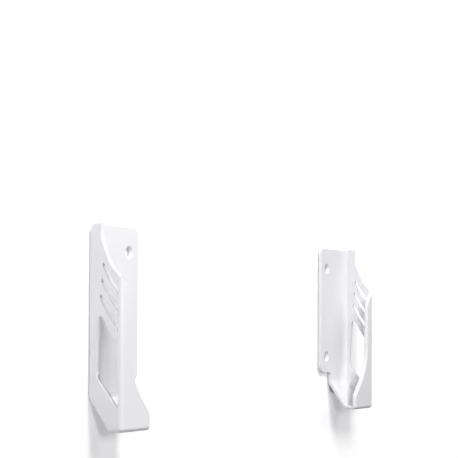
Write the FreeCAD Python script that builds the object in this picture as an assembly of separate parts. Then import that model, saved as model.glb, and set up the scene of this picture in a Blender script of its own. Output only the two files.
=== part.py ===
"""Tablet wall mount: a mirrored pair of moulded corner brackets, each held by one stretch-release strip.

Millimetres. +X runs along the mounting surface, -Y points out of it and +Z is up. Y = 0 is the plane of both
brackets' backs, X = 0 is midway between them, and Z = 0 is the middle of the four screw holes.
A bracket is drawn once, as the left one, in its own measures: "inward" runs from its outer side face towards
the other bracket, "out" from its back to its front, "up" from its underside and "down" from its top.
"""
import FreeCAD, Part
import math
import os

from FreeCAD import Vector

# The pair
slot_width = 243.0          # clear width between the two side walls
slot_depth = 14.0           # clear depth between back plate and lip

# One bracket
bracket_height = 92.0
side_wall = 1.8
back_wall = 2.0
lip_wall = 2.0
shelf_wall = 2.0
shelf_reach = 22.2          # how far shelf and lip foot reach inward
plate_width = 34.0          # how far the back plate reaches inward
corner_radius = 2.1         # upright edge between side wall and lip
outline_radius = 0.6        # rounding of the outer edges at the back and the top, and of the plate's back
foot_radius = 1.9           # rounding under the lip, to which the outline's one grows down the slant
lip_edge_radius = 1.4       # rounding of the lip's free edge and of the shelf's end
opening_bevel = 0.3         # slight bevel where an opening breaks the outer face
slot_floor_radius = 0.4     # inside corner between shelf and lip
top_corner = 3.75           # rounded top corner at the back
plate_corner = 4.0          # corners of the back plate's inward edge

# The slanted underside, which leaves room for fingers at the strip's tab
slant_up = 15.0             # where the slant's line meets the back
slant_out = 10.6            # where the slant's line meets the underside
slant_top_radius = 6.6
slant_foot_radius = 5.0
plate_foot = 21.0           # lower edge of the back plate past the shelf
plate_notch_radius = 2.0    # inside corner between that edge and the shelf's end

# The scoop that opens the side wall above the lip, as (out, down, corner radius)
scoop_mouth = (6.2, 7.3, 15.0)
scoop_bend = (11.5, 19.3, 20.0)
scoop_end_down = 23.3       # where the scoop reaches the upright edge

# The lip's free edge, as (inward, height, corner radius)
lip_start_down = 25.7       # where the lip's edge leaves the upright edge
lip_width = 7.5             # the narrow upper part
lip_shoulder_down = 28.9
lip_shoulder_radius = 9.5
lip_waist_up = 24.4
lip_waist_radius = 32.0
lip_hip_up = 8.0
lip_hip_radius = 6.5

# The claw slots in the side wall: the top one and the bottom one, as (out, down, corner radius).
# The corners run tip, nape, belly, mouth's lower and upper end, crest. A mouth ends near the upright edge,
# which its two corners say with None.
claw_count = 3
mouth_gap = 0.35            # flat left between a mouth and the upright edge
top_claw = [(7.35, 17.5, 0.4), (6.75, 19.4, 2.0), (10.4, 26.1, 20.0), (None, 32.4, 0.4),
            (None, 28.9, 0.9), (11.4, 24.1, 25.0)]
bottom_claw = [(6.15, 31.5, 0.4), (5.35, 33.2, 2.0), (9.8, 41.0, 20.0), (None, 48.6, 0.4),
               (None, 44.4, 0.9), (10.8, 39.2, 25.0)]

# The window below them: its upper edge is measured down from the top, its lower one up from the underside
window_tip = (5.25, 38.7, 1.2)
window_crest = (11.0, 48.1, 20.0)
window_mouth_down = 54.2
window_mouth_radius = 0.9
window_heel = (3.4, 24.6, 9.0)
window_foot_up = 9.9
window_foot_radius = 0.5

# Screw holes, a second way of fixing
screw_diameter = 3.6
screw_head_diameter = 6.4
screw_edge = 7.0            # from the plate's inward edge to the screws' line
screw_low = 30.0
screw_high = 80.0

# The stretch-release strip with its bare pull tab
strip_width = 16.0
strip_length = 60.0
strip_thickness = 0.8
strip_inward = 5.0
strip_down = 7.0
strip_corner = 2.0
tab_width = 13.0
tab_length = 16.0
tab_thickness = 0.4
tab_corner = 4.0

# Worked out
bracket_depth = back_wall + slot_depth + lip_wall
half_width = slot_width / 2 + side_wall
screw_inward = plate_width - screw_edge
hole_middle = (screw_low + screw_high) / 2
corner_out = bracket_depth - corner_radius
mouth_out = corner_out - mouth_gap
past = 5.0                  # how far a cutting shape runs past what it cuts
over = 0.1                  # how far it reaches past a face that it only has to clear


def side_view(inward):
    """Places (out, up) in the plane that lies this far inward."""
    return lambda out, up: Vector(inward, -out, up)


def front_view(out):
    """Places (inward, up) in the plane that lies this far out."""
    return lambda inward, up: Vector(inward, -out, up)


def from_top(corner):
    """Turns a corner (u, down, radius) into (u, up, radius)."""
    u, down, radius = corner
    return u, bracket_height - down, radius


def rounded_wire(corners, place):
    """A closed wire through corners (u, v, radius), each rounded to its radius as far as its sides allow."""
    count = len(corners)
    points = [place(u, v) for u, v, radius in corners]
    sides = [points[(i + 1) % count] - points[i] for i in range(count)]
    half_turns = [sides[i - 1].getAngle(sides[i]) / 2 for i in range(count)]
    setbacks = [corners[i][2] * math.tan(half_turns[i]) for i in range(count)]
    fits = [min(1, sides[i].Length / max(setbacks[i] + setbacks[(i + 1) % count], 1e-9))
            for i in range(count)]
    edges = []
    ends = []
    for i in range(count):
        share = min(fits[i - 1], fits[i])
        setback = setbacks[i] * share
        radius = corners[i][2] * share
        back = sides[i - 1].normalize() * -1
        ahead = Vector(sides[i]).normalize()
        start, end = points[i] + back * setback, points[i] + ahead * setback
        if setback > 0:
            inner = (back + ahead).normalize()
            middle = points[i] + inner * (radius / math.cos(half_turns[i]) - radius)
            edges.append(Part.Arc(start, middle, end).toShape())
        ends.append((start, end))
    for i in range(count):
        start, end = ends[i][1], ends[(i + 1) % count][0]
        if (end - start).Length > 1e-6:
            edges.append(Part.makeLine(start, end))
    return Part.Wire(Part.__sortEdges__(edges))


def prism(corners, place, along):
    """The outline through corners, drawn by place and pulled along a vector."""
    return Part.Face(rounded_wire(corners, place)).extrude(along)


def same(a, b):
    return abs(a - b) < 1e-4


def edges_where(shape, test):
    """The edges whose ends and middle all pass a test on (inward, out, up)."""
    chosen = []
    for edge in shape.Edges:
        middle = edge.valueAt((edge.FirstParameter + edge.LastParameter) / 2)
        points = [vertex.Point for vertex in edge.Vertexes] + [middle]
        if all(test(point.x, -point.y, point.z) for point in points):
            chosen.append(edge)
    return chosen


def growing_fillet(shape, edges, radius_at):
    """Rounds edges with a radius that changes evenly along each one, between its values at the two ends."""
    document = FreeCAD.newDocument()
    base = document.addObject("Part::Feature")
    base.Shape = shape
    fillet = document.addObject("Part::Fillet")
    fillet.Base = base
    fillet.Edges = [(number, radius_at(edge.valueAt(edge.FirstParameter)),
                     radius_at(edge.valueAt(edge.LastParameter)))
                    for number, edge in enumerate(shape.Edges, 1)
                    if any(edge.isSame(chosen) for chosen in edges)]
    document.recompute()
    rounded = fillet.Shape.copy()
    FreeCAD.closeDocument(document.Name)
    return rounded


def outline_rounding(point, front_radius):
    """The outline's radius at a point: small at the back and the top, growing down the slant to the front's."""
    if point.z > slant_up + slant_top_radius:
        return outline_radius
    share = min(-point.y / corner_out, 1)
    return outline_radius + share * (front_radius - outline_radius)


def outer_side_rounding(point):
    return outline_rounding(point, foot_radius)


def lip_rounding(point):
    """The lip's free edge keeps one radius, which shrinks from there along the shelf's end to the plate's back."""
    if -point.y > corner_out - over:
        return lip_edge_radius
    return outline_rounding(point, lip_edge_radius)


def plate_trim():
    """What is taken off round the back plate's inward end, from its rounded corners outwards."""
    far = plate_width + past
    top = bracket_height + past
    outline = [(shelf_reach, -past, 0), (far, -past, 0), (far, top, 0), (shelf_reach, top, 0),
               (shelf_reach, bracket_height, 0), (plate_width, bracket_height, plate_corner),
               (plate_width, plate_foot, plate_corner), (shelf_reach, plate_foot, plate_notch_radius)]
    return prism(outline, front_view(-past), Vector(0, -back_wall - 2 * past, 0))


def outer_form():
    """The outer form of plate, side wall, lip and shelf, still solid between them."""
    outline = [(0, bracket_height, top_corner), (0, slant_up, slant_top_radius),
               (slant_out, 0, slant_foot_radius), (bracket_depth, 0, 0),
               (bracket_depth, bracket_height, 0)]
    form = prism(outline, side_view(0), Vector(plate_width, 0, 0))
    past_shelf = Part.makeBox(plate_width, bracket_depth, bracket_height + 2 * past,
                              Vector(shelf_reach, -bracket_depth - back_wall, -past))
    form = form.cut(past_shelf).cut(plate_trim())
    upright = edges_where(form, lambda inward, out, up: same(inward, 0) and same(out, bracket_depth))
    form = form.makeFillet(corner_radius, upright)
    side_outline = edges_where(form, lambda inward, out, up: same(inward, 0) and out < corner_out + over
                               and not (same(out, corner_out) and up > over))
    front_foot = edges_where(form, lambda inward, out, up: same(up, 0) and out > corner_out - over
                             and not (same(inward, shelf_reach) and out < bracket_depth - over))
    return growing_fillet(form, side_outline + front_foot, outer_side_rounding)


def cavity():
    """The space inside: the slot, and the slanted wall's inner face."""
    slope = slant_up / slant_out
    inner_up = slant_up + shelf_wall * math.hypot(1, slope)
    ramp_foot = (inner_up - shelf_wall) / slope
    lip_back = back_wall + slot_depth
    top = bracket_height + past
    outline = [(back_wall, top, 0),
               (back_wall, inner_up - slope * back_wall, slant_top_radius - shelf_wall),
               (ramp_foot, shelf_wall, slant_foot_radius - shelf_wall),
               (lip_back, shelf_wall, slot_floor_radius),
               (lip_back, top, 0)]
    return prism(outline, side_view(side_wall), Vector(plate_width + past, 0, 0))


def through_side(corners):
    """A prism through the side wall."""
    return prism(corners, side_view(-past), Vector(past + side_wall + over, 0, 0))


def scoop_cut():
    """What the scoop takes from the side wall, behind the upright edge."""
    top = bracket_height + past
    end_up = bracket_height - scoop_end_down
    return through_side([(scoop_mouth[0], top, 0), from_top(scoop_mouth), from_top(scoop_bend),
                         (corner_out, end_up, 0), (corner_out, top, 0)])


def corner_cut():
    """What the same sweep takes round the upright edge, from the scoop's end to the lip's start.

    Its floor is a ruled surface whose rulings all point at the upright edge's centre line. It leaves the
    scoop and meets the lip's edge at their own slopes, so that one free edge runs round the corner.
    """
    start_up = bracket_height - scoop_end_down
    end_up = bracket_height - lip_start_down
    scoop_slope = (scoop_bend[1] - scoop_end_down) / (corner_out - scoop_bend[0])
    lip_slope = (lip_start_down - lip_shoulder_down) / (lip_width - corner_radius)
    third = corner_radius * math.pi / 6

    def edge(radius):
        """One quarter turn at this radius, as the cubic curve that lies nearest to a true arc."""
        handle = radius * 4 / 3 * math.tan(math.pi / 8)
        curve = Part.BezierCurve()
        curve.setPoles([Vector(corner_radius - radius, -corner_out, start_up),
                        Vector(corner_radius - radius, -corner_out - handle, start_up + scoop_slope * third),
                        Vector(corner_radius - handle, -corner_out - radius, end_up - lip_slope * third),
                        Vector(corner_radius, -corner_out - radius, end_up)])
        return curve.toShape()

    floor = Part.makeRuledSurface(edge(corner_radius + 1.5), edge(over))
    return floor.extrude(Vector(0, 0, bracket_height + past - end_up))


def lip_cut():
    """What lies inward of the lip's free edge and above it."""
    top = bracket_height + past
    far = plate_width + past
    start = back_wall + slot_depth - over
    outline = [(corner_radius, top, 0), (corner_radius, bracket_height - lip_start_down, 0),
               (lip_width, bracket_height - lip_shoulder_down, lip_shoulder_radius),
               (lip_width, lip_waist_up, lip_waist_radius), (shelf_reach, lip_hip_up, lip_hip_radius),
               (shelf_reach, -past, 0), (far, -past, 0), (far, top, 0)]
    return prism(outline, front_view(start), Vector(0, -(bracket_depth + past - start), 0))


def side_opening(corners):
    """An opening through the side wall, where an "out" of None lies on the line of the mouths."""
    return through_side([(mouth_out if out is None else out, up, radius) for out, up, radius in corners])


def claw(index):
    """One claw slot: its corners lie evenly between those of the top and the bottom one."""
    share = index / (claw_count - 1)
    corners = []
    for first, last in zip(top_claw, bottom_claw):
        out = None if first[0] is None else first[0] + (last[0] - first[0]) * share
        down = first[1] + (last[1] - first[1]) * share
        corners.append(from_top((out, down, first[2])))
    return side_opening(corners)


def window():
    return side_opening([from_top(window_tip), window_heel, (None, window_foot_up, window_foot_radius),
                         from_top((None, window_mouth_down, window_mouth_radius)),
                         from_top(window_crest)])


def screw_hole(up):
    """A countersunk hole through the back plate, its cone towards the front."""
    sink = (screw_head_diameter - screw_diameter) / 2
    bore = Part.makeCylinder(screw_diameter / 2, back_wall + 2 * over,
                             Vector(screw_inward, over, up), Vector(0, -1, 0))
    cone = Part.makeCone(screw_diameter / 2, screw_head_diameter / 2 + over, sink + over,
                         Vector(screw_inward, sink - back_wall, up), Vector(0, -1, 0))
    return bore.fuse(cone)


def bracket():
    """The left bracket, in its own measures."""
    body = outer_form().cut(scoop_cut()).cut(corner_cut()).cut(lip_cut())
    lip_start_up = bracket_height - lip_start_down
    free_edge = edges_where(body, lambda inward, out, up: same(out, bracket_depth) and up > foot_radius + over
                            and inward > corner_radius - over
                            and not (same(inward, corner_radius) and up < lip_start_up - over))
    shelf_end = edges_where(body, lambda inward, out, up: inward > shelf_reach - over
                            and out < corner_out - over and not same(out, back_wall))
    body = growing_fillet(body, free_edge + shelf_end, lip_rounding).cut(cavity())
    for index in range(claw_count):
        body = body.cut(claw(index))
    body = body.cut(window())
    top = bracket_height - top_claw[0][1] + over
    rims = edges_where(body, lambda inward, out, up: same(inward, 0) and window_foot_up - over < up < top
                       and window_heel[0] - over < out < mouth_out + over)
    body = body.makeChamfer(opening_bevel, rims)
    for up in (screw_low, screw_high):
        body = body.cut(screw_hole(up))
    return body


def strip():
    """The left strip: a foam body behind the plate, and a thin bare tab that hangs below it."""
    middle = strip_inward + strip_width / 2
    top = bracket_height - strip_down
    foot = top - strip_length
    foam = [(strip_inward, foot, strip_corner), (strip_inward + strip_width, foot, strip_corner),
            (strip_inward + strip_width, top, strip_corner), (strip_inward, top, strip_corner)]
    tab = [(middle - tab_width / 2, foot - tab_length, tab_corner),
           (middle + tab_width / 2, foot - tab_length, tab_corner),
           (middle + tab_width / 2, foot + strip_corner, 0),
           (middle - tab_width / 2, foot + strip_corner, 0)]
    body = prism(foam, front_view(0), Vector(0, strip_thickness, 0))
    return body.fuse(prism(tab, front_view(0), Vector(0, tab_thickness, 0))).removeSplitter()


def write_pair(name, shape):
    """Sets a left-hand piece in its place, mirrors it for the right, and writes both."""
    shape.translate(Vector(-half_width, 0, -hole_middle))
    shape.exportStep(f"parts/left_{name}.step")
    shape.mirror(Vector(0, 0, 0), Vector(1, 0, 0)).exportStep(f"parts/right_{name}.step")


os.makedirs("parts", exist_ok=True)
write_pair("bracket", bracket())
write_pair("adhesive_strip", strip())
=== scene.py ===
# %% [markdown]
# # Tablet wall mount
# Two moulded corner brackets, a mirrored pair, each fixed to a flat surface by one foam strip. This lesson
# dresses the measured model for the camera. The model gives every size, and each step here says what a
# piece or a finish is on the real object, how it could be made in Blender, and why one way was chosen.

# %% Load the measured model
import math

import bmesh
import bpy
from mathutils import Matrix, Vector


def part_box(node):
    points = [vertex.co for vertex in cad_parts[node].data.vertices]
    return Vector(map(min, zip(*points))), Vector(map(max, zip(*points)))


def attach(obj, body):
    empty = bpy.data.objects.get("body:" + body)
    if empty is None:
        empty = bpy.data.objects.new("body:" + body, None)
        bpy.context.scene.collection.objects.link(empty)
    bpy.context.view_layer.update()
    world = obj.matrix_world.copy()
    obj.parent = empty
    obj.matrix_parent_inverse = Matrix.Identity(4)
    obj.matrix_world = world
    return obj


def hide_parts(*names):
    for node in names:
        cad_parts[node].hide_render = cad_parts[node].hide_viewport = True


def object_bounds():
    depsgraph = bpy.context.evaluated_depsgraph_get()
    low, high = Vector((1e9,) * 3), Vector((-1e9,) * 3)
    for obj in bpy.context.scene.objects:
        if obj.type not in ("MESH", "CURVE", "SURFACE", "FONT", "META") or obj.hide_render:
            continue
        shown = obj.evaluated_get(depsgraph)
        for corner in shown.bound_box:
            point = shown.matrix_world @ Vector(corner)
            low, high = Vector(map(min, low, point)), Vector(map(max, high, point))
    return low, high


MM = 0.001
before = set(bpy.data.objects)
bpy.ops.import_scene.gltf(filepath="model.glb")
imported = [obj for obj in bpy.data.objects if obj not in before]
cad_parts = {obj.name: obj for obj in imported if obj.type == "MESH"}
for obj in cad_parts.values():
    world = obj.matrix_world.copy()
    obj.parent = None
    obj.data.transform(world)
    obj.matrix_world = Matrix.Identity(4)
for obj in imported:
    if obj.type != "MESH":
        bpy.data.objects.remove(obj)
cad_low, cad_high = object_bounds()
size = cad_high - cad_low
print("nodes:", sorted(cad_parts))
print("size in mm:", [round(v / MM, 1) for v in size])

# %% [markdown]
# ## The camera
# The photograph looks at the pair from its left, almost level with its feet, through a long lens. The view
# was worked out from straight edges of known length: a place in space, a heading and a focal length. The
# picture was cropped from a larger one, so the lens axis lies below its middle, and a small upward shift
# gives that back. It is better than tilting the camera, because upright edges stay upright.

# %% Camera
PICTURE_SIDE = 458
FOCAL_PIXELS = 1418.2
AXIS_BELOW_MIDDLE = 56.6
CAMERA_PLACE = Vector((-621.6, -381.6, -9.55)) * MM
CAMERA_TURN = (91.748, -0.3, -58.183)
SENSOR = 36.0
CLIP_NEAR = 0.01
CLIP_FAR = 20

bpy.ops.object.camera_add(location=CAMERA_PLACE, rotation=[math.radians(a) for a in CAMERA_TURN])
camera = bpy.context.object
camera.name = "camera"
camera.data.sensor_width = SENSOR
camera.data.lens = FOCAL_PIXELS / PICTURE_SIDE * SENSOR
camera.data.shift_y = AXIS_BELOW_MIDDLE / PICTURE_SIDE
camera.data.clip_start = CLIP_NEAR
camera.data.clip_end = CLIP_FAR
bpy.context.scene.camera = camera
print("lens", round(camera.data.lens, 1), "mm, shift", round(camera.data.shift_y, 3))

# %% [markdown]
# ## Building materials from nodes
# Every finish here is a small network of shader nodes. In the editor each node is added by hand, set and
# wired. In code the same three steps repeat so often that one helper does them together, and the rest of
# the file then reads as a list of nodes.

# %% Node helpers
def add_node(tree, kind, inputs=None, **settings):
    """Adds a node with these settings, and gives its inputs a value or a wire from another node."""
    node = tree.nodes.new(kind)
    for name, value in settings.items():
        setattr(node, name, value)
    for key, value in (inputs or {}).items():
        if isinstance(value, bpy.types.NodeSocket):
            tree.links.new(value, node.inputs[key])
        else:
            node.inputs[key].default_value = value
    return node


def arithmetic(tree, operation, first, second):
    """The result of one sum on two values or wires."""
    return add_node(tree, "ShaderNodeMath", {0: first, 1: second}, operation=operation).outputs[0]


def empty_material(name):
    material = bpy.data.materials.new(name)
    material.use_nodes = True
    material.node_tree.nodes.clear()
    return material


# %% [markdown]
# ## The stage
# The pair hangs on a plain white surface, and there is no floor anywhere near. One large plane is enough for
# it. It lies a hair behind the adhesive, because two faces in exactly one place flicker. The lamps light it
# as any other thing, so it keeps the soft shadow, and a camera, a reflection or a look through glass sees it
# a little brighter still, more so well away from the brackets, so that it ends in plain white. Whoever goes
# round to look at the backs would see nothing but this plane. So the material asks which way the camera
# looks, and is clear for every ray as soon as that is the other way.

# %% Stage material
STAGE_COLOUR = (0.95, 0.95, 0.96, 1)
STAGE_GLOW_NEAR = 0.27
STAGE_GLOW_FAR = 0.42
NEAR_ASIDE = 0.13
FAR_ASIDE = 0.27
LOOKS_OUT = -0.05


def stage_material(name):
    """Plain diffuse to the lamps, whiter to the camera, and clear for a camera that looks from behind."""
    material = empty_material(name)
    tree = material.node_tree
    path = add_node(tree, "ShaderNodeLightPath")
    seen = arithmetic(tree, "MAXIMUM", path.outputs["Is Camera Ray"], path.outputs["Is Glossy Ray"])
    seen = arithmetic(tree, "MAXIMUM", seen, path.outputs["Is Transmission Ray"])
    place = add_node(tree, "ShaderNodeNewGeometry").outputs["Position"]
    across = add_node(tree, "ShaderNodeSeparateXYZ", {0: place}).outputs["X"]
    aside = arithmetic(tree, "ABSOLUTE", across, 0.0)
    level = add_node(tree, "ShaderNodeMapRange",
                     {"Value": aside, "From Min": NEAR_ASIDE, "From Max": FAR_ASIDE,
                      "To Min": STAGE_GLOW_NEAR, "To Max": STAGE_GLOW_FAR})
    strength = arithmetic(tree, "MULTIPLY", seen, level.outputs[0])
    diffuse = add_node(tree, "ShaderNodeBsdfDiffuse", {"Color": STAGE_COLOUR})
    glow = add_node(tree, "ShaderNodeEmission", {"Strength": strength})
    surface = add_node(tree, "ShaderNodeAddShader", {0: diffuse.outputs[0], 1: glow.outputs[0]})
    inward = add_node(tree, "ShaderNodeVectorTransform", {"Vector": (0, 1, 0)}, vector_type="VECTOR",
                      convert_from="WORLD", convert_to="CAMERA")
    ahead = add_node(tree, "ShaderNodeSeparateXYZ", {0: inward.outputs[0]}).outputs["Z"]
    from_behind = arithmetic(tree, "LESS_THAN", ahead, LOOKS_OUT)
    clear = add_node(tree, "ShaderNodeBsdfTransparent")
    both = add_node(tree, "ShaderNodeMixShader",
                    {0: from_behind, 1: surface.outputs[0], 2: clear.outputs[0]})
    add_node(tree, "ShaderNodeOutputMaterial", {"Surface": both.outputs[0]})
    return material


# %% Stage plane
BACKDROP_SIDE = 6.0
BACKDROP_GAP = 0.03 * MM

bpy.ops.mesh.primitive_plane_add(size=BACKDROP_SIDE, location=(0, cad_high.y + BACKDROP_GAP, 0),
                                 rotation=(math.pi / 2, 0, 0))
backdrop = bpy.context.object
backdrop.name = "backdrop"
backdrop.data.materials.append(stage_material("backdrop_white"))
print("backdrop at y =", round(backdrop.location.y / MM, 2), "mm")

# %% [markdown]
# ## The light
# In the photograph the rounded upright edge is the lightest place, the front lip comes next and the outer
# side is a shade darker; all of them darken towards the foot, and a soft shadow falls on the surface below.
# A flat, even light would lose all of that on a white thing before a white ground. So the main light is a
# soft square close in front and above: being close, it fades towards the foot by itself. A low one on the
# camera's side gives the rounded edge its highlight, and a weak one on the right lifts the far bracket. The
# sky is brighter above than below and fills the rest. All levels together come to about one on the faces
# that look to the front, so that a colour comes out about as it is written. The lamp behind the surface
# serves only those who look at the backs: the surface stops it for everyone in front.

# %% Sky and lamps
SKY_COLOUR = (0.97, 0.97, 1.0, 1)
SKY_HIGH = 0.52
SKY_LOW = 0.10
PLAIN_WHITE = (1, 1, 1, 1)
LAMPS = {
    "key_lamp": ((-0.16, -0.44, 0.42), 0.26, 0.76),
    "edge_lamp": ((-0.70, -0.82, 0.12), 0.20, 0.26),
    "right_lamp": ((0.36, -0.46, 0.26), 0.24, 0.14),
    "back_lamp": ((0.5, 1.3, 0.6), 0.80, 0.7),
}


def area_lamp(name, place, side, level):
    """A square soft lamp that looks at the origin and lights a white sheet facing it there to this level."""
    place = Vector(place)
    bpy.ops.object.light_add(type="AREA", location=place)
    lamp = bpy.context.object
    lamp.name = name
    lamp.rotation_euler = (-place).to_track_quat("-Z", "Y").to_euler()
    lamp.data.shape = "SQUARE"
    lamp.data.size = side
    lamp.data.energy = level * math.pi**2 * place.length_squared


world = bpy.data.worlds.new("studio")
bpy.context.scene.world = world
world.use_nodes = True
world.node_tree.nodes.clear()
tree = world.node_tree
looked_at = add_node(tree, "ShaderNodeLightPath").outputs["Is Camera Ray"]
direction = add_node(tree, "ShaderNodeTexCoord").outputs["Generated"]
up = add_node(tree, "ShaderNodeSeparateXYZ", {0: direction}).outputs["Z"]
level = add_node(tree, "ShaderNodeMapRange", {"Value": up, "To Min": SKY_LOW, "To Max": SKY_HIGH})
sky_fill = add_node(tree, "ShaderNodeBackground", {"Color": SKY_COLOUR, "Strength": level.outputs[0]})
sky_white = add_node(tree, "ShaderNodeBackground", {"Color": PLAIN_WHITE})
sky = add_node(tree, "ShaderNodeMixShader",
               {0: looked_at, 1: sky_fill.outputs[0], 2: sky_white.outputs[0]})
add_node(tree, "ShaderNodeOutputWorld", {"Surface": sky.outputs[0]})

for lamp_name, (lamp_place, lamp_side, lamp_level) in LAMPS.items():
    area_lamp(lamp_name, lamp_place, lamp_side, lamp_level)
bpy.context.scene.view_settings.view_transform = "Standard"
print("sky level", SKY_LOW, "to", SKY_HIGH, "with lamps", list(LAMPS))

# %% [markdown]
# ## Effects that several finishes share
# Moulded plastic, film and foam are never one even colour, and none of them is a perfect mirror of its
# mould. Three effects say so. A mottle lets the colour drift by a percent or two over a few millimetres. A
# grain is the faint spark-eroded skin that a mould leaves, with a slow waviness where the plastic shrank.
# A polish finds the edges, which wear smoother, and a painted highlight makes them a little lighter. Each is
# a node group with named inputs, so that every material places it with its own values.

# %% Group helper
def effect_group(name, inputs, outputs):
    """An empty node group with these sockets, as {name: (kind, first value)}, and its two end nodes."""
    group = bpy.data.node_groups.new(name, "ShaderNodeTree")
    for way, sockets in (("INPUT", inputs), ("OUTPUT", outputs)):
        for label, (kind, value) in sockets.items():
            socket = group.interface.new_socket(name=label, in_out=way, socket_type=f"NodeSocket{kind}")
            if value is not None:
                socket.default_value = value
    return group, group.nodes.new("NodeGroupInput"), group.nodes.new("NodeGroupOutput")


def place_group(tree, group, inputs):
    return add_node(tree, "ShaderNodeGroup", inputs, node_tree=group)


def cloud(tree, place, patch, detail=2.0):
    """Smooth noise around 0.5 whose patches are this many metres wide."""
    width = add_node(tree, "ShaderNodeCombineXYZ", {0: patch, 1: patch, 2: patch}).outputs[0]
    scaled = add_node(tree, "ShaderNodeVectorMath", {0: place, 1: width}, operation="DIVIDE").outputs[0]
    noise = add_node(tree, "ShaderNodeTexNoise", {"Vector": scaled, "Scale": 1.0, "Detail": detail})
    return noise.outputs["Fac"]


# %% Mottle
NOISE_MIDDLE = 0.5

mottle, entry, end = effect_group(
    "mottle",
    {"Place": ("Vector", None), "Colour": ("Color", (0.8, 0.8, 0.8, 1)), "Patch": ("Float", 0.012),
     "Amount": ("Float", 0.02)},
    {"Colour": ("Color", None), "Drift": ("Float", None)})
drift = cloud(mottle, entry.outputs["Place"], entry.outputs["Patch"])
drift = arithmetic(mottle, "SUBTRACT", drift, NOISE_MIDDLE)
share = arithmetic(mottle, "MULTIPLY", drift, entry.outputs["Amount"])
swing = arithmetic(mottle, "MULTIPLY", share, 1 / NOISE_MIDDLE)
factor = arithmetic(mottle, "ADD", swing, 1.0)
tinted = add_node(mottle, "ShaderNodeVectorMath", {0: entry.outputs["Colour"], "Scale": factor},
                  operation="SCALE")
mottle.links.new(tinted.outputs[0], end.inputs["Colour"])
mottle.links.new(drift, end.inputs["Drift"])

# %% Grain
grain, entry, end = effect_group(
    "moulded_grain",
    {"Place": ("Vector", None), "Grain Size": ("Float", 0.0003), "Grain Depth": ("Float", 0.000004),
     "Wave Size": ("Float", 0.012), "Wave Depth": ("Float", 0.00002)},
    {"Height": ("Float", None)})
fine = cloud(grain, entry.outputs["Place"], entry.outputs["Grain Size"])
fine = arithmetic(grain, "MULTIPLY", fine, entry.outputs["Grain Depth"])
slow = cloud(grain, entry.outputs["Place"], entry.outputs["Wave Size"], 0.0)
slow = arithmetic(grain, "MULTIPLY", slow, entry.outputs["Wave Depth"])
grain.links.new(arithmetic(grain, "ADD", fine, slow), end.inputs["Height"])

# %% Edge polish and painted highlight
EDGE_SAMPLES = 6
EDGE_GAIN = 4.0

# The mask finds rounded edges: it makes them smoother, and it also paints them lighter as a painted
# highlight.
polish_and_highlight_group, entry, end = effect_group("edge_polish_and_highlight", {"Reach": ("Float", 0.0004)}, {"Mask": ("Float", None)})
rounded = add_node(polish_and_highlight_group, "ShaderNodeBevel", {"Radius": entry.outputs["Reach"]}, samples=EDGE_SAMPLES)
facing = add_node(polish_and_highlight_group, "ShaderNodeNewGeometry").outputs["Normal"]
agree = add_node(polish_and_highlight_group, "ShaderNodeVectorMath", {0: rounded.outputs[0], 1: facing}, operation="DOT_PRODUCT")
bend = arithmetic(polish_and_highlight_group, "SUBTRACT", 1.0, agree.outputs["Value"])
mask = add_node(polish_and_highlight_group, "ShaderNodeMath", {0: bend, 1: EDGE_GAIN}, operation="MULTIPLY", use_clamp=True)
polish_and_highlight_group.links.new(mask.outputs[0], end.inputs["Mask"])
print("groups:", [group.name for group in bpy.data.node_groups])

# %% [markdown]
# ## White plastic
# The brackets are moulded in one white plastic with a faint cool cast and a satin shine. The shader stays
# in the material, with its plain numbers on its own sockets. Only what changes over the surface is wired:
# the drifting colour, a painted highlight that lightens the edges, the roughness that varies a little and
# drops at polished edges, and the grain's bump.

# %% Plastic material
PLASTIC_COLOUR = (0.86, 0.855, 0.88, 1)
# Painted highlight: the edges are painted in this lighter colour.
PLASTIC_EDGE_HIGHLIGHT_COLOUR = (0.90, 0.895, 0.92, 1)
PLASTIC_ROUGHNESS = 0.36
PLASTIC_UNEVENNESS = 0.08
EDGE_SMOOTHER_BY = 0.03

plastic = empty_material("white_plastic")
tree = plastic.node_tree
place = add_node(tree, "ShaderNodeTexCoord").outputs["Object"]
# Painted highlight: the edge mask lightens the colour at the edges and also lowers the roughness there.
edge_wear_and_highlight = place_group(tree, polish_and_highlight_group, {"Reach": 0.35 * MM}).outputs["Mask"]
colour_with_edge_highlight = add_node(tree, "ShaderNodeMix", {0: edge_wear_and_highlight, 6: PLASTIC_COLOUR, 7: PLASTIC_EDGE_HIGHLIGHT_COLOUR},
                 data_type="RGBA")
patches = place_group(tree, mottle, {"Place": place, "Colour": colour_with_edge_highlight.outputs[2], "Patch": 14 * MM,
                                     "Amount": 0.02})
height = place_group(tree, grain, {"Place": place, "Grain Size": 0.3 * MM, "Grain Depth": 0.004 * MM,
                                   "Wave Size": 13 * MM, "Wave Depth": 0.03 * MM}).outputs["Height"]
uneven = arithmetic(tree, "MULTIPLY", patches.outputs["Drift"], PLASTIC_UNEVENNESS)
shine = arithmetic(tree, "ADD", uneven, PLASTIC_ROUGHNESS)
smoother = arithmetic(tree, "MULTIPLY", edge_wear_and_highlight, EDGE_SMOOTHER_BY)
shine = arithmetic(tree, "SUBTRACT", shine, smoother)
bump = add_node(tree, "ShaderNodeBump", {"Height": height, "Distance": 1.0})
shader = add_node(tree, "ShaderNodeBsdfPrincipled", {"Base Color": patches.outputs["Colour"],
                                                     "Roughness": shine, "Normal": bump.outputs[0],
                                                     "IOR": 1.5})
add_node(tree, "ShaderNodeOutputMaterial", {"Surface": shader.outputs[0]})
print("plastic nodes:", len(tree.nodes))

# %% [markdown]
# ## The brackets
# Each bracket is one moulding. The model already holds its form: the claw slots, the scoop, the lip and
# the rounding that grows towards the foot. It arrives as loose flat triangles, though, so every curve would
# look faceted and every edge razor-sharp. A copy is merged into one closed skin. Its sharp edges get the
# hair-thin rounding that a mould leaves, and it is shaded smooth, with the large flat faces deciding the
# direction of the shading at their rims. Modelling it again by hand would only add errors to a measured
# shape.

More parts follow.
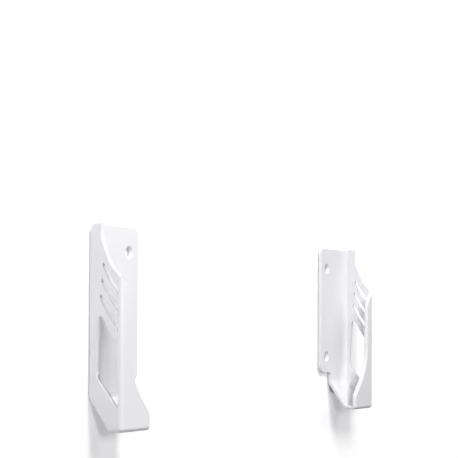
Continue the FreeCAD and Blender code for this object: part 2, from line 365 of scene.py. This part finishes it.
# %% Helpers for picking and merging
TOUCH = 0.02 * MM
FLAT_ANGLE = math.radians(0.2)
QUAD_BEND = math.radians(25)
QUAD_SKEW = math.radians(60)


def make_active(piece):
    """Leaves this piece alone selected, so that the next operator acts on nothing else."""
    bpy.ops.object.select_all(action="DESELECT")
    piece.select_set(True)
    bpy.context.view_layer.objects.active = piece


def select_where(piece, kind, test):
    """Selects only the points, edges or faces that pass a test, and says how many."""
    bpy.ops.mesh.select_mode(type={"verts": "VERT", "edges": "EDGE", "faces": "FACE"}[kind])
    bpy.ops.mesh.select_all(action="DESELECT")
    mesh = bmesh.from_edit_mesh(piece.data)
    chosen = [part for part in getattr(mesh, kind) if test(part)]
    for part in chosen:
        part.select_set(True)
    bmesh.update_edit_mesh(piece.data)
    return len(chosen)


def stand_in(node, name):
    """A copy of a measured node, merged into one skin of quads and larger faces, which stands for it."""
    piece = bpy.data.objects.new(name, node.data.copy())
    bpy.context.collection.objects.link(piece)
    make_active(piece)
    bpy.ops.object.mode_set(mode="EDIT")
    bpy.ops.mesh.select_all(action="SELECT")
    bpy.ops.mesh.remove_doubles(threshold=TOUCH)
    bpy.ops.mesh.dissolve_limited(angle_limit=FLAT_ANGLE, use_dissolve_boundaries=False)
    bpy.ops.mesh.select_all(action="SELECT")
    bpy.ops.mesh.tris_convert_to_quads(face_threshold=QUAD_BEND, shape_threshold=QUAD_SKEW)
    bpy.ops.object.mode_set(mode="OBJECT")
    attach(piece, "root")
    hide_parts(node.name)
    return piece


# %% [markdown]
# Which edges get the rounding is picked by their angle. Two kinds are left out. The inner rims of the slots
# and the window come too close to the corner behind the upright edge, and so does the last turn of the sweep
# round that edge: there a rounding would run into itself. The flat face of the sweep just above the turn is
# long, so it is cut in two first, and the rounding then ends close to the turn and not far above it. The
# model itself has a small crevice at the lower end of the turn, which stays in the copy.

# %% Round the sharp edges
EDGE_ROUNDING = 0.18 * MM
EDGE_STEPS = 2
SHARP = math.radians(50)
NEAR = 0.02 * MM
INNER_SIDE = 121.5 * MM
ROUNDING_END = 15.65 * MM
CORNER_OUT = 15.8 * MM
CORNER_UP = 10.5 * MM
CORNER_REACH = 2.0 * MM
TURN_DEPTH = 0.2 * MM
LOOKS_UP = 0.5
LOOKS_ASIDE = 0.1


def before_turn(face):
    """True for the last flat face of the sweep above the turn round the upright edge."""
    outs = [-point.co.y for point in face.verts]
    high = face.calc_center_median().z > CORNER_UP
    on_sweep = high and face.normal.z > LOOKS_UP and abs(face.normal.x) < LOOKS_ASIDE
    return on_sweep and min(outs) < ROUNDING_END < max(outs) < CORNER_OUT + TURN_DEPTH


def from_inner_side(point):
    """How far a point lies to the left or right of the side wall's inner face, on either bracket."""
    return abs(abs(point.co.x) - INNER_SIDE)


def in_turn(point):
    """True for a point of the last turn of the sweep round the upright edge."""
    near_edge = from_inner_side(point) < CORNER_REACH
    return near_edge and -point.co.y > CORNER_OUT and point.co.z > CORNER_UP


def takes_rounding(edge):
    """True for a sharp outer edge, unless it is an inner rim or touches the turn."""
    if len(edge.link_faces) != 2 or not edge.is_convex or edge.calc_face_angle() < SHARP:
        return False
    on_inner_rim = all(from_inner_side(point) < NEAR for point in edge.verts)
    return not on_inner_rim and not any(in_turn(point) for point in edge.verts)


def round_edges(piece):
    """Gives the sharp outer edges of a bracket their hair-thin rounding, and says how many there were."""
    make_active(piece)
    bpy.ops.object.mode_set(mode="EDIT")
    flat = select_where(piece, "faces", before_turn)
    bpy.ops.mesh.bisect(plane_co=(0, -ROUNDING_END, 0), plane_no=(0, 1, 0))
    count = select_where(piece, "edges", takes_rounding)
    bpy.ops.mesh.bevel(offset=EDGE_ROUNDING, segments=EDGE_STEPS, affect="EDGES", clamp_overlap=False)
    bpy.ops.object.mode_set(mode="OBJECT")
    print(piece.name, "flat faces cut above the turn:", flat)
    return count


# %% The two brackets
SMOOTH_ANGLE = math.radians(50)
FLAT_FACE_WEIGHT = 50


def shade_smooth(piece, angle):
    """Smooth shading up to an angle, in which large flat faces keep their own direction up to their rims."""
    make_active(piece)
    bpy.ops.object.shade_smooth_by_angle(angle=angle)
    weights = piece.modifiers.new("weights", "WEIGHTED_NORMAL")
    weights.keep_sharp = True
    weights.mode = "FACE_AREA"
    weights.weight = FLAT_FACE_WEIGHT
    bpy.ops.object.modifier_apply(modifier=weights.name)


for side in ("left", "right"):
    bracket = stand_in(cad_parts[f"{side}_bracket"], f"{side}_bracket_moulding")
    rounded_count = round_edges(bracket)
    shade_smooth(bracket, SMOOTH_ANGLE)
    bracket.data.materials.clear()
    bracket.data.materials.append(plastic)
    print(bracket.name, "has", len(bracket.data.polygons), "faces,", rounded_count, "edges rounded")

# %% [markdown]
# ## Foam and film
# A stretch-release strip is closed-cell foam between two thin layers of adhesive. The cut edge shows the
# cells, so a pattern of small rounded cells gives it relief, and a painted shade darkens the hollow of each
# cell. The layers of adhesive are smoother and shine more, and the height through the strip says where they
# are. The tab is a bare, slightly milky film, which lets a little light in.

# %% Foam material
FOAM_COLOUR = (0.90, 0.90, 0.87, 1)
CELL_HOLLOW_PAINTED_SHADE = (0.84, 0.84, 0.81, 1)
ADHESIVE_COLOUR = (0.93, 0.93, 0.905, 1)
CELL = 0.22 * MM
CELL_DEPTH = 0.05 * MM
ADHESIVE_LAYER = 0.08 * MM
STRIP_THICKNESS = 0.8 * MM
FOAM_ROUGHNESS = 0.85
ADHESIVE_SMOOTHER_BY = 0.45

foam = empty_material("strip_foam")
tree = foam.node_tree
place = add_node(tree, "ShaderNodeTexCoord").outputs["Object"]
through = add_node(tree, "ShaderNodeSeparateXYZ", {0: place}).outputs["Y"]
at_back = arithmetic(tree, "GREATER_THAN", through, STRIP_THICKNESS - ADHESIVE_LAYER)
at_front = arithmetic(tree, "LESS_THAN", through, ADHESIVE_LAYER)
layer = arithmetic(tree, "MAXIMUM", at_back, at_front)
cells = add_node(tree, "ShaderNodeTexVoronoi", {"Vector": place, "Scale": 1 / CELL}).outputs["Distance"]
# Painted shade: the colour darkens towards the middle of each cell, where the bump sinks into a hollow.
cells_with_painted_shade = add_node(tree, "ShaderNodeMix", {0: cells, 6: CELL_HOLLOW_PAINTED_SHADE, 7: FOAM_COLOUR}, data_type="RGBA")
laid = add_node(tree, "ShaderNodeMix", {0: layer, 6: cells_with_painted_shade.outputs[2], 7: ADHESIVE_COLOUR},
                data_type="RGBA")
patches = place_group(tree, mottle, {"Place": place, "Colour": laid.outputs[2], "Patch": 5 * MM,
                                     "Amount": 0.03})
tack = place_group(tree, grain, {"Place": place, "Grain Size": 0.5 * MM, "Grain Depth": 0.01 * MM,
                                 "Wave Size": 4 * MM, "Wave Depth": 0.03 * MM}).outputs["Height"]
open_cells = arithmetic(tree, "MULTIPLY", cells, CELL_DEPTH)
height = add_node(tree, "ShaderNodeMix", {0: layer, 2: open_cells, 3: tack}).outputs[0]
bump = add_node(tree, "ShaderNodeBump", {"Height": height, "Distance": 1.0})
smoother = arithmetic(tree, "MULTIPLY", layer, ADHESIVE_SMOOTHER_BY)
dullness = arithmetic(tree, "SUBTRACT", FOAM_ROUGHNESS, smoother)
shader = add_node(tree, "ShaderNodeBsdfPrincipled", {"Base Color": patches.outputs["Colour"],
                                                     "Roughness": dullness, "Normal": bump.outputs[0]})
add_node(tree, "ShaderNodeOutputMaterial", {"Surface": shader.outputs[0]})

# %% Film material
FILM_COLOUR = (0.90, 0.90, 0.885, 1)
FILM_ROUGHNESS = 0.38
FILM_UNEVENNESS = 0.1
MILKY_DEPTH = 1 * MM

film = empty_material("tab_film")
tree = film.node_tree
place = add_node(tree, "ShaderNodeTexCoord").outputs["Object"]
patches = place_group(tree, mottle, {"Place": place, "Colour": FILM_COLOUR, "Patch": 4 * MM, "Amount": 0.03})
height = place_group(tree, grain, {"Place": place, "Grain Size": 0.25 * MM, "Grain Depth": 0.004 * MM,
                                   "Wave Size": 3 * MM, "Wave Depth": 0.03 * MM}).outputs["Height"]
bump = add_node(tree, "ShaderNodeBump", {"Height": height, "Distance": 1.0})
uneven = arithmetic(tree, "MULTIPLY", patches.outputs["Drift"], FILM_UNEVENNESS)
shine = arithmetic(tree, "ADD", uneven, FILM_ROUGHNESS)
shader = add_node(tree, "ShaderNodeBsdfPrincipled", {"Base Color": patches.outputs["Colour"],
                                                     "Roughness": shine, "Normal": bump.outputs[0],
                                                     "Subsurface Weight": 0.15,
                                                     "Subsurface Scale": MILKY_DEPTH})
add_node(tree, "ShaderNodeOutputMaterial", {"Surface": shader.outputs[0]})
print("materials:", [material.name for material in bpy.data.materials])

# %% [markdown]
# ## The foam strips
# Each strip lies flat behind its bracket. It could be one thin box, but the real one is die-cut with round
# corners, and the press of the bracket makes its soft edge swell between the two layers of adhesive. So a
# box gets its corners rounded, is cut into layers through its thickness, and the middle layers swell.

# %% Helpers for the strips
FOAM_LENGTH = 60 * MM
FOAM_CORNER = 2 * MM
FOAM_SWELLING = 0.14 * MM
CORNER_STEPS = 8
STRAIGHT = 0.9


def new_block(name, low, high):
    """A box between two corners, with its place in its mesh, left in edit mode."""
    bpy.ops.object.select_all(action="DESELECT")
    bpy.ops.mesh.primitive_cube_add(size=1, location=(low + high) / 2, scale=high - low)
    block = bpy.context.object
    block.name = name
    bpy.ops.object.transform_apply(location=True, rotation=True, scale=True)
    bpy.ops.object.mode_set(mode="EDIT")
    return block


def cut_at(place, normal):
    """Cuts everything in edit mode along one plane, and keeps both sides."""
    bpy.ops.mesh.select_all(action="SELECT")
    bpy.ops.mesh.bisect(plane_co=place, plane_no=normal)


def runs_through(edge):
    """True for an edge that runs straight through the strip's thickness."""
    along = edge.verts[0].co - edge.verts[1].co
    return abs(along.y) > STRAIGHT * along.length


def finish_piece(piece, material, node_name):
    bpy.ops.object.mode_set(mode="OBJECT")
    piece.data.materials.append(material)
    shade_smooth(piece, SMOOTH_ANGLE)
    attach(piece, "root")
    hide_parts(node_name)
    print(piece.name, "has", len(piece.data.polygons), "faces")


# %% Foam strips
LAYER_CUTS = (0.08 * MM, 0.24 * MM, 0.4 * MM, 0.56 * MM, 0.72 * MM)
SWELLING_SHARES = (0.7, 1.0, 0.7)

for side in ("left", "right"):
    strip_low, strip_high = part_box(f"{side}_adhesive_strip")
    foam_low = Vector((strip_low.x, 0, strip_high.z - FOAM_LENGTH))
    strip = new_block(f"{side}_foam_strip", foam_low, Vector((strip_high.x, STRIP_THICKNESS, strip_high.z)))
    select_where(strip, "edges", runs_through)
    bpy.ops.mesh.bevel(offset=FOAM_CORNER, segments=CORNER_STEPS, affect="EDGES")
    for depth in LAYER_CUTS:
        cut_at((0, depth, 0), (0, 1, 0))
    for depth, share in zip(LAYER_CUTS[1:4], SWELLING_SHARES):
        select_where(strip, "verts", lambda point: abs(point.co.y - depth) < NEAR)
        bpy.ops.transform.shrink_fatten(value=FOAM_SWELLING * share)
    finish_piece(strip, foam, f"{side}_adhesive_strip")

# %% [markdown]
# ## The pull tabs
# A bare tab of film hangs out of the strip's lower end: to take the bracket down, it is gripped there and
# pulled straight down. It is much thinner than the foam, has rounded lower corners, and a few raised ribs
# give the fingers a hold. The ribs are real relief, because their shade shows even on so small a piece:
# the film is cut along their outlines, and the faces between the cuts are drawn out on both sides.

# %% Pull tabs
TAB_WIDTH = 13 * MM
TAB_THICKNESS = 0.4 * MM
TAB_CORNER = 4 * MM
TAB_HIDDEN = 0.6 * MM
RIB_COUNT = 5
RIB_PITCH = 1.7 * MM
RIB_WIDTH = 0.7 * MM
RIB_LENGTH = 8 * MM
RIB_HEIGHT = 0.12 * MM
RIB_FROM_END = 3.4 * MM
TAB_EDGE = 0.06 * MM


def on_rib(face, middle, rib_heights):
    """True for a broad face of the tab that lies within the outline of one rib."""
    centre = face.calc_center_median()
    across = abs(centre.x - middle) < RIB_LENGTH / 2
    along = any(abs(centre.z - height) < RIB_WIDTH / 2 for height in rib_heights)
    return abs(face.normal.y) > STRAIGHT and across and along


for side in ("left", "right"):
    strip_low, strip_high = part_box(f"{side}_adhesive_strip")
    middle = (strip_low.x + strip_high.x) / 2
    tab_top = strip_high.z - FOAM_LENGTH + TAB_HIDDEN
    tab = new_block(f"{side}_pull_tab", Vector((middle - TAB_WIDTH / 2, 0, strip_low.z)),
                    Vector((middle + TAB_WIDTH / 2, TAB_THICKNESS, tab_top)))
    select_where(tab, "edges", lambda edge: runs_through(edge) and edge.verts[0].co.z < strip_low.z + NEAR)
    bpy.ops.mesh.bevel(offset=TAB_CORNER, segments=CORNER_STEPS, affect="EDGES")
    ribs = [strip_low.z + RIB_FROM_END + RIB_PITCH * i for i in range(RIB_COUNT)]
    for height in ribs:
        cut_at((0, 0, height - RIB_WIDTH / 2), (0, 0, 1))
        cut_at((0, 0, height + RIB_WIDTH / 2), (0, 0, 1))
    for end in (-1, 1):
        cut_at((middle + end * RIB_LENGTH / 2, 0, 0), (1, 0, 0))
    count = select_where(tab, "faces", lambda face: on_rib(face, middle, ribs))
    bpy.ops.mesh.extrude_region_shrink_fatten(TRANSFORM_OT_shrink_fatten={"value": RIB_HEIGHT})
    select_where(tab, "edges", lambda edge: edge.is_convex and edge.calc_face_angle(0) > SHARP)
    bpy.ops.mesh.bevel(offset=TAB_EDGE, segments=EDGE_STEPS, affect="EDGES")
    finish_piece(tab, film, f"{side}_adhesive_strip")
    print("rib faces drawn out:", count)
